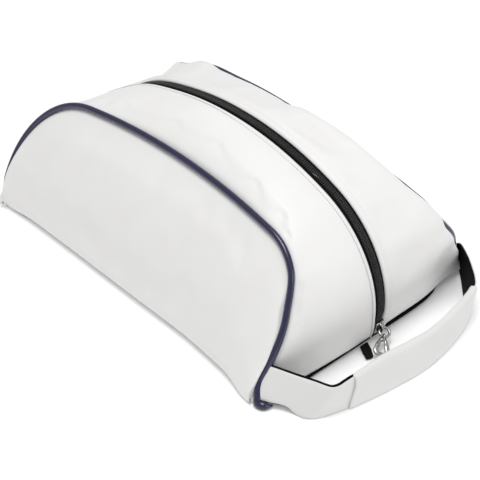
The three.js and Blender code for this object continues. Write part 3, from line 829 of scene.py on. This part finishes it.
def bar(path, across, thick, sides=16):
    """A bar of rounded rectangular section along a path; across points along its width and is half of it."""
    path = np.asarray(path, float)
    run = unit(np.gradient(path, axis=0))
    wide = np.broadcast_to(unit(np.asarray(across, float)), path.shape)
    half = np.linalg.norm(np.asarray(across, float))
    up = unit(np.cross(run, wide))
    c, s = squircle(2 * math.pi * np.arange(sides) / sides, 0.55, 0.55)
    rows = path[:, None] + wide[:, None] * (half * c)[:, None] + up[:, None] * (thick / 2 * s)[:, None]
    return rows, tube_faces(len(rows), sides)


def ring_tube(path, radius, sides=12):
    """The points and faces of a tube round a closed line."""
    rows = tube_rows(path, radius, sides, closed=True)
    return rows, tube_faces(len(rows), sides, closed=True)


def circle(count):
    """Evenly spaced angles once round."""
    return np.linspace(0, 2 * math.pi, count + 1)[:-1]


SLIDER_ANGLE = math.radians(-13)
arc_x, arc_z = end_centre(ZIP_ARCH, ZIP_ARCH["front_r"], ZIP_ARCH["front_x"] - ZIP_ARCH["front_r"])
out_dir = np.array([math.cos(SLIDER_ANGLE), 0, math.sin(SLIDER_ANGLE)])
up_dir = np.array([-math.sin(SLIDER_ANGLE), 0, math.cos(SLIDER_ANGLE)])
slider_at = np.array([arc_x, 0, arc_z]) + ZIP_ARCH["front_r"] * out_dir
Y = np.array([0, 1.0, 0])


def on_slider(s, y, n):
    """s runs up the zip, y across it and n out of the bag."""
    return slider_at + s * up_dir + y * Y + n * out_dir


half_shield = [(5.4, 0), (5.2, 2.8), (4.0, 4.2), (0, 4.5), (-3.2, 5.1), (-5.4, 4.6), (-6.0, 0)]
shield = spline(half_shield + [(s, -y) for s, y in half_shield[-2::-1]], 49)[:-1]
parts = [bevelled_plate(shield, -0.5, 0.8, 0.45, on_slider),
         bevelled_plate(shield * 0.94, -5.4, -4.6, 0.3, on_slider)]
for side in (RIGHT, LEFT):
    # The flanges that hold the coils follow the shield's edge.
    flange = ((4.7, 3.9), (3.4, 4.0), (0, 4.1), (-3, 4.7), (-5.1, 4.5))
    flange = [on_slider(s, side * y, -1.3) for s, y in flange]
    parts.append(bar(spline(flange, 18), out_dir * 1.25, 0.8))
# The post between the two plates is a narrow wedge.
half_wedge = [(-1.4, 0), (-3.4, 0.38), (-5.6, 0.3), (-5.9, 0)]
wedge = spline(half_wedge + [(s, -y) for s, y in half_wedge[-2::-1]], 20)[:-1]
parts.append(bevelled_plate(wedge, -4.7, -0.4, 0.1, on_slider))
bridge = spline([on_slider(s, 0, n) for s, n in (
    (-4.3, 0.5), (-4.4, 2.2), (-3.6, 3.7), (-1.6, 4.4), (1.2, 4.3), (3.2, 3.4), (3.9, 2.0), (3.9, 0.5))], 30)
parts.append(bar(bridge, Y * 1.25, 1.05))
for s in (-4.3, 3.9):
    foot = np.stack([s + 1.2 * np.cos(circle(16)), 1.75 * np.sin(circle(16))], -1)
    parts.append(bevelled_plate(foot, 0.6, 1.35, 0.3, on_slider))
dress(joined("zip_slider", parts, NICKEL), "slider", "nickel", "slider_body", "slider_crown")

RING_RADIUS = 4.2
# The ring hangs DROP below level, and the puller has slid round it by SWAY.
DROP, SWAY = math.radians(25), math.radians(50)
ring_x = np.array([math.cos(DROP), 0, -math.sin(DROP)])
ring_n = np.array([math.sin(DROP), 0, math.cos(DROP)])
ring_centre = on_slider(0, 0, 2.2) + RING_RADIUS * ring_x
a = circle(40)
loop = ring_centre + RING_RADIUS * (np.cos(a)[:, None] * ring_x + np.sin(a)[:, None] * Y)
dress(joined("pull_ring", [ring_tube(loop, 1.15)], NICKEL), "ring", "nickel", "puller_ring")

bow_x = math.cos(SWAY) * ring_x - math.sin(SWAY) * Y
bow_y = math.sin(SWAY) * ring_x + math.cos(SWAY) * Y
half_bow = [(5.9, 0), (6.6, 1.5), (9.2, 2.7), (13, 3.8), (16.6, 4.5), (19.0, 4.1), (20.2, 2.2), (20.5, 0)]
bow = spline(half_bow + [(x, -y) for x, y in half_bow[-2::-1]], 61)[:-1]
bow_path = ring_centre + bow[:, :1] * bow_x + bow[:, 1:] * bow_y
bow_rows = tube_rows(bow_path, lerp(1.35, 2.1, smooth(bow[:, 0], 8, 13)), 14, closed=True)
# The bow's section is flattened across the ring's plane.
raised = (bow_rows - bow_path[:, None]) @ ring_n
bow_rows = bow_rows - 0.42 * raised[..., None] * ring_n
eye = ring_centre + RING_RADIUS * bow_x + 1.95 * (np.cos(a)[:, None] * bow_x + np.sin(a)[:, None] * ring_n)
collar = [ring_centre + x * bow_x for x in (5.9, 6.5, 7.3, 8.2)]
parts = [(bow_rows, tube_faces(len(bow_rows), 14, closed=True)), ring_tube(eye, 0.75),
         bar(collar, bow_y * 2.1, 2.0)]
dress(joined("puller_bow", parts, NICKEL), "pull_tab", "nickel", "puller")

for node in ("zipper_front_stop", "zipper_rear_stop"):
    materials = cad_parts[node].data.materials
    materials.clear()
    materials.append(NICKEL)

rear_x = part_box("zipper_end_tab")[0][0] / MM
tab = resample([(rear_x, -18.8), (169, -22.4), (175.4, -25.2), (176.9, -22.4), (177.2, -19.2), (170.5, -14.6),
                (rear_x, -11.0)], 60, closed=True)
tab_plate = bevelled_plate(tab, 0.5, 2.1, 0.35, lambda x, y, z: np.array([x, y, z]))
dress(joined("zip_end_tab", [tab_plate], TAPE), "bag", "webbing", "zipper_end_tab")


# ---- Handle: leatherette outside, webbing inside, and a padded sleeve ----
# Rows across the strap from the right seam round to the left: top edge, then bottom edge.
STRAP_ROWS = [
    ((149.0, -102.2, 27.6), (149.2, -114.2, 6.2)), ((152.4, -103.6, 28.3), (153.6, -116.6, 5.4)),
    ((160.0, -101.0, 28.3), (161.0, -113.2, 5.2)), ((168.0, -98.0, 28.2), (168.4, -108.6, 5.2)),
    ((175.5, -95.0, 28.0), (173.6, -106.0, 4.4)), ((182.0, -92.3, 28.0), (177.6, -104.6, 1.8)),
    ((188.0, -90.0, 28.0), (182.6, -103.4, 0.5)), ((194.0, -88.0, 28.0), (187.8, -101.8, 0.5)),
    ((198.6, -85.6, 28.0), (192.4, -97.4, 0.5)),
    ((201.0, -80.8, 28.0), (196.2, -89.6, 0.5)), ((201.3, -73.5, 28.2), (199.4, -79.4, 0.5)),
    ((201.7, -65.5, 28.6), (202.2, -68.8, 0.5)), ((202.2, -50.0, 29.4), (205.4, -52.0, 0.5)),
    ((202.8, -32.0, 30.0), (208.2, -34.0, 0.5)), ((205.0, -14.0, 30.0), (210.2, -14.0, 0.5)),
    ((206.8, 3.0, 30.0), (210.3, 4.0, 0.5)), ((206.6, 19.0, 30.0), (208.6, 20.0, 0.5)),
    ((204.0, 36.0, 30.0), (204.8, 38.0, 0.5)), ((200.8, 51.5, 29.6), (199.6, 54.0, 0.5)),
    ((198.0, 61.8, 29.2), (194.4, 65.0, 0.5)), ((195.4, 70.0, 28.8), (187.0, 75.0, 0.5)),
    ((191.6, 76.5, 28.4), (179.0, 82.5, 0.6)), ((185.0, 82.8, 28.2), (171.4, 89.5, 1.0)),
    ((177.0, 88.8, 28.2), (164.6, 95.5, 2.0)), ((168.4, 94.8, 28.2), (158.4, 100.4, 3.6)),
    ((160.0, 99.6, 28.3), (153.6, 103.8, 5.0)), ((152.2, 103.2, 28.3), (150.0, 106.0, 5.6)),
    ((149.0, 102.0, 27.6), (146.6, 105.6, 5.8))]
strap_edges = spline(np.array(STRAP_ROWS).reshape(len(STRAP_ROWS), 6), 260)
strap_top, strap_low = strap_edges[:, :3], strap_edges[:, 3:]
IN_LOOP = (160, 0, 12)
GRIP_ENDS = (-68.5, 76.5)


def strap_grid(nv, offset, over=0.0):
    """The strap from its bottom edge to its top, moved out by offset and standing past both edges by over."""
    w = np.linspace(0, 1, nv)[None, :, None]
    wide = unit(strap_top - strap_low)[:, None]
    y = (strap_top + strap_low)[:, 1] / 2
    if over:
        # Edges that stand past the strap draw in inside the sleeve.
        start, end = GRIP_ENDS
        over = over - 1.2 * smooth(y, start - 1, start + 3) * (1 - smooth(y, end - 3, end))
        over = over[:, None, None]
    p = lerp(strap_low[:, None] - wide * over, strap_top[:, None] + wide * over, w)
    n = normals_of(p, np.asarray(IN_LOOP, float))
    return p + n * (offset + 0.35 * np.sin(math.pi * w[..., :1]))


for name, offset, over, thickness, material, slot, nodes in (
        ("strap_outer", 1.45, 0.0, 1.3, STRAP_WHITE, "leatherette",
         ("handle_strap", "handle_tab_right", "handle_tab_left")),
        ("strap_webbing", 0.1, 1.0, 1.7, WEBBING, "webbing", ("handle_webbing",))):
    piece = shell_object(name, strap_grid(14, offset, over), thickness, material, IN_LOOP)
    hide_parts(*nodes)
    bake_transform(piece)

# The sleeve: rings round the strap, turned in at both mouths, whose edges wave a little.
SLEEVE_THICK, SLEEVE_OVER = 3.9, 1.0
middle = (strap_top + strap_low) / 2
strap_s = lengths(middle)
grip_s = [np.interp(y, middle[:, 1], strap_s) for y in GRIP_ENDS]
corners = 48
profile_o, profile_w = squircle(2 * math.pi * (np.arange(corners) + 0.5) / corners, 0.62, 0.42)
steps = np.r_[0, 0, np.linspace(0, 1, 90), 1, 1]
lip = np.ones(len(steps))
lip[[0, -1]], lip[[1, -2]] = 0.45, 0.8
turned_in = np.zeros(len(steps))
turned_in[[0, -1]] = 0.8, -0.8
grip = []
for t, size, inward in zip(steps, lip, turned_in):
    wave = 1.3 * np.sin(profile_w * 2.6 + 0.4) * (1 - smooth(t, 0, 0.12))
    wave = wave - 1.2 * np.sin(profile_w * 2.2) * smooth(t, 0.88, 1)
    at = lerp(*grip_s, t) + wave + inward
    top, low = sample(strap_top, strap_s, at), sample(strap_low, strap_s, at)
    ahead = sample(middle, strap_s, at + 4) - sample(middle, strap_s, at - 4)
    wide = unit(top - low)
    out = unit(np.cross(ahead, wide))
    out = out * np.sign((out * (middle.mean(0) - np.array(IN_LOOP))).sum(-1, keepdims=True))
    plump = size * (0.86 + 0.14 * max(math.sin(math.pi * t), 0) ** 0.4)
    half = np.linalg.norm(top - low, axis=-1) / 2 + SLEEVE_OVER * size - (1 - size) * 1.5
    grip.append((top + low) / 2 + out * (0.2 + SLEEVE_THICK * plump * profile_o)[:, None]
                + wide * (half * profile_w)[:, None])
grip = np.array(grip)
uneven = 0.25 * ripple(grip, 41, 26) * lip[:, None]
grip = grip + unit(grip - grip.mean(1, keepdims=True)) * uneven[..., None]
sleeve = make_object("grip_sleeve", grip, tube_faces(len(steps), corners), STRAP_WHITE)
dress(sleeve, "handle", "leatherette", "handle_grip")


# ---- Floor and light ----
FLOOR_REACH, FLOOR_DROP = 9000, 0.3
n = Nodes("studio_floor")
floor_material = n.set(Base_Color=n.mix(n.range(n.noise(2.0), 0, 1), grey(0.93), grey(0.95)),
                       Roughness=0.85, Specular_IOR_Level=0.1,
                       Emission_Color=(1, 1, 1, 1), Emission_Strength=0.12)
ends = (-FLOOR_REACH, FLOOR_REACH)
floor = make_object("floor", [(x, y, -FLOOR_DROP) for x in ends for y in ends], [[0, 2, 3, 1]],
                    floor_material, rests=False)
world = bpy.data.worlds.new("studio")
scene.world = world
world.use_nodes = True
background = world.node_tree.nodes["Background"]
background.inputs["Color"].default_value = (1.0, 1.0, 1.0, 1)
background.inputs["Strength"].default_value = 0.54


LIT_POINT = Vector((0, 0, 0.05))


def soft_light(name, at, size, power):
    """A round light of that width in metres, turned to the middle of the bag."""
    data = bpy.data.lights.new(name, "AREA")
    data.shape, data.size, data.energy = "DISK", size, power
    light = bpy.data.objects.new(name, data)
    light.location = at
    light.rotation_mode = "QUATERNION"
    light.rotation_quaternion = (LIT_POINT - Vector(at)).to_track_quat("-Z", "Y")
    scene.collection.objects.link(light)


soft_light("key", (0.1, -0.15, 1.9), size=1.0, power=18.2)
soft_light("front", (1.7, 0.4, 0.8), size=1.0, power=4.2)
scene.view_settings.view_transform = "Standard"
scene.view_settings.look = "None"
scene.view_settings.exposure = 0
scene.view_settings.gamma = 1
